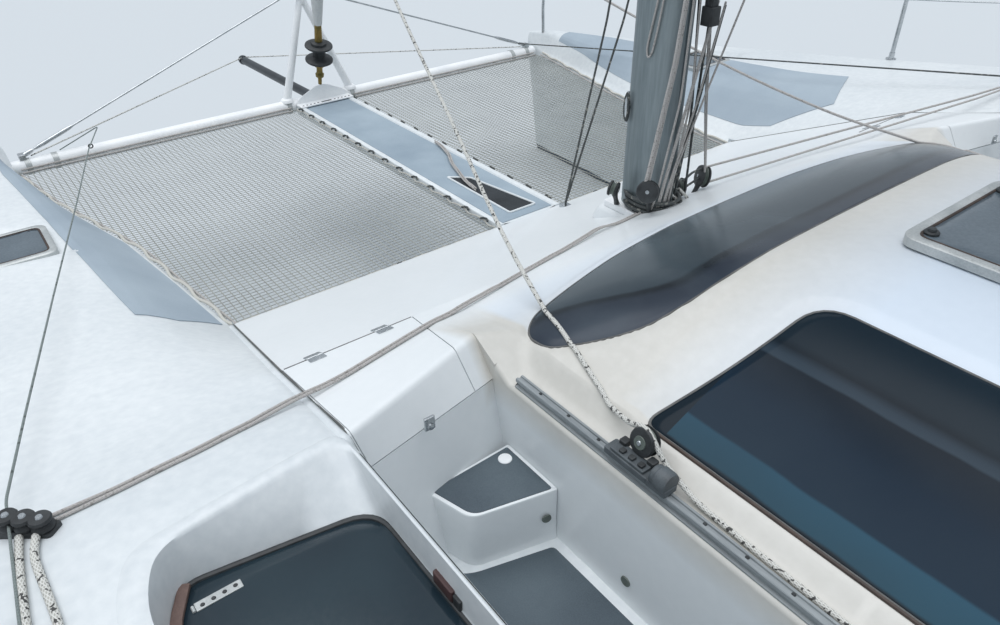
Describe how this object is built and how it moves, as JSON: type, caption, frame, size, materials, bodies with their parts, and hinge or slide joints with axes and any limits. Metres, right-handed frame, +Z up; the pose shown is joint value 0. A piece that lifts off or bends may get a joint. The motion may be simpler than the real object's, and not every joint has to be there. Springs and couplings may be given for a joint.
{
  "type": "sailing catamaran",
  "caption": "Bridge-deck sailing catamaran with nets, catwalk, mast, furled headsail, sunken side passages and low cabin.",
  "frame": {"origin": "amidships on the centreline at the waterline", "axes": "+X forward, +Y to port, +Z up"},
  "size_m": [10.835, 5.2, 14.13],
  "materials": {
    "gelcoat": "satin white gelcoat",
    "cabin": "warm white gelcoat",
    "grip": "pale blue-grey non-slip paint",
    "sole": "grey non-slip paint",
    "spar": "grey anodised",
    "steel": "polished stainless",
    "dark": "black moulded",
    "glass": "smoked acrylic",
    "net": "knotless polyester net",
    "sail": "furled sailcloth",
    "cover": "acrylic canvas",
    "keel": "antifouling paint",
    "bronze": "bare bronze"
  },
  "bodies": {
    "boat": {"hull_port": "gelcoat", "hull_starboard": "gelcoat", "keel_port": "keel", "keel_starboard": "keel", "bridge_deck": "gelcoat", "coachroof": "cabin", "front_window": "glass", "side_window_port": "glass", "side_window_starboard": "glass", "foredeck": "gelcoat", "corner_step_port": "sole", "corner_step_starboard": "sole", "crossbeam": "gelcoat", "catwalk": "grip", "striker": "gelcoat", "striker_rods": "steel", "bowsprit": "dark", "net_port": "net", "net_starboard": "net", "mast": "spar", "spreaders": "spar", "gooseneck_bracket": "steel", "chainplate": "steel", "shroud_port": "steel", "shroud_starboard": "steel", "lower_shroud_port": "steel", "lower_shroud_starboard": "steel", "genoa_track_port": "dark", "genoa_track_starboard": "dark", "genoa_car_port": "dark", "genoa_car_starboard": "dark", "winch_port": "steel", "winch_starboard": "steel", "helm_pedestal": "gelcoat", "sail_drive_port": "keel", "sail_drive_starboard": "keel", "traveller_beam": "gelcoat", "rails_port": "steel", "rails_starboard": "steel", "mast_blocks": "dark", "deck_sheaves_port": "dark", "deck_sheaves_starboard": "dark"},
    "boom": {"boom": "spar", "stowed_mainsail": "cover"},
    "genoa_furler": {"furled_genoa": "sail"},
    "helm": {"steering_wheel": "steel"},
    "rudder_blade_port": {"rudder_port": "keel"},
    "rudder_blade_starboard": {"rudder_starboard": "keel"},
    "screw_port": {"propeller_port": "bronze"},
    "screw_starboard": {"propeller_starboard": "bronze"},
    "roof_lid": {"roof_hatch": "glass"},
    "bow_lid_port": {"bow_hatch_port": "glass"},
    "bow_lid_starboard": {"bow_hatch_starboard": "glass"},
    "companion_lid_port": {"companion_hatch_port": "glass"},
    "companion_lid_starboard": {"companion_hatch_starboard": "glass"},
    "locker_port": {"locker_lid_port": "gelcoat"},
    "locker_starboard": {"locker_lid_starboard": "gelcoat"},
    "door": {"cabin_door": "glass"}
  },
  "joints": [
    {"name": "boom_swing", "type": "hinge", "parent": "boat", "child": "boom", "pos_m": [1.623, 0, 2.23], "axis": [0, 0, 1], "range_deg": [-65, 65]},
    {"name": "furler_turn", "type": "hinge", "parent": "boat", "child": "genoa_furler", "pos_m": [4.688, 0, 0.9], "axis": [-0.2507, 0, 0.9681], "continuous": true},
    {"name": "wheel_turn", "type": "hinge", "parent": "boat", "child": "helm", "pos_m": [-2.175, -0.6, 1.25], "axis": [1, 0, 0], "range_deg": [-360, 360]},
    {"name": "rudder_port_turn", "type": "hinge", "parent": "boat", "child": "rudder_blade_port", "pos_m": [-4.08, 1.96, -0.2], "axis": [0, 0, 1], "range_deg": [-35, 35]},
    {"name": "rudder_starboard_turn", "type": "hinge", "parent": "boat", "child": "rudder_blade_starboard", "pos_m": [-4.08, -1.96, -0.2], "axis": [0, 0, 1], "range_deg": [-35, 35]},
    {"name": "propeller_port_turn", "type": "hinge", "parent": "boat", "child": "screw_port", "pos_m": [-3.2, 1.96, -0.64], "axis": [1, 0, 0], "continuous": true},
    {"name": "propeller_starboard_turn", "type": "hinge", "parent": "boat", "child": "screw_starboard", "pos_m": [-3.2, -1.96, -0.64], "axis": [1, 0, 0], "continuous": true},
    {"name": "roof_hatch_lift", "type": "hinge", "parent": "boat", "child": "roof_lid", "pos_m": [0.719, 0, 1.514], "axis": [0, 1, 0], "range_deg": [0, 80]},
    {"name": "bow_hatch_port_lift", "type": "hinge", "parent": "boat", "child": "bow_lid_port", "pos_m": [3.397, 2.05, 0.99], "axis": [0, 1, 0], "range_deg": [0, 80]},
    {"name": "bow_hatch_starboard_lift", "type": "hinge", "parent": "boat", "child": "bow_lid_starboard", "pos_m": [3.397, -2.05, 0.99], "axis": [0, 1, 0], "range_deg": [0, 80]},
    {"name": "companion_port_lift", "type": "hinge", "parent": "boat", "child": "companion_lid_port", "pos_m": [0.6, 2.044, 1.208], "axis": [1, 0, 0], "range_deg": [-85, 0]},
    {"name": "companion_starboard_lift", "type": "hinge", "parent": "boat", "child": "companion_lid_starboard", "pos_m": [0.6, -2.044, 1.208], "axis": [1, 0, 0], "range_deg": [0, 85]},
    {"name": "locker_port_lift", "type": "hinge", "parent": "boat", "child": "locker_port", "pos_m": [1.597, 1.386, 1.179], "axis": [0, 1, 0], "range_deg": [0, 75]},
    {"name": "locker_starboard_lift", "type": "hinge", "parent": "boat", "child": "locker_starboard", "pos_m": [1.597, -1.386, 1.179], "axis": [0, 1, 0], "range_deg": [0, 75]},
    {"name": "door_swing", "type": "hinge", "parent": "boat", "child": "door", "pos_m": [-1.498, 0.2997, 1.15], "axis": [0, 0, 1], "range_deg": [-95, 0]}
  ],
  "couplings": [
    {"joint": "rudder_port_turn", "follows": "wheel_turn", "ratio": 0.097222},
    {"joint": "rudder_starboard_turn", "follows": "wheel_turn", "ratio": 0.097222}
  ]
}
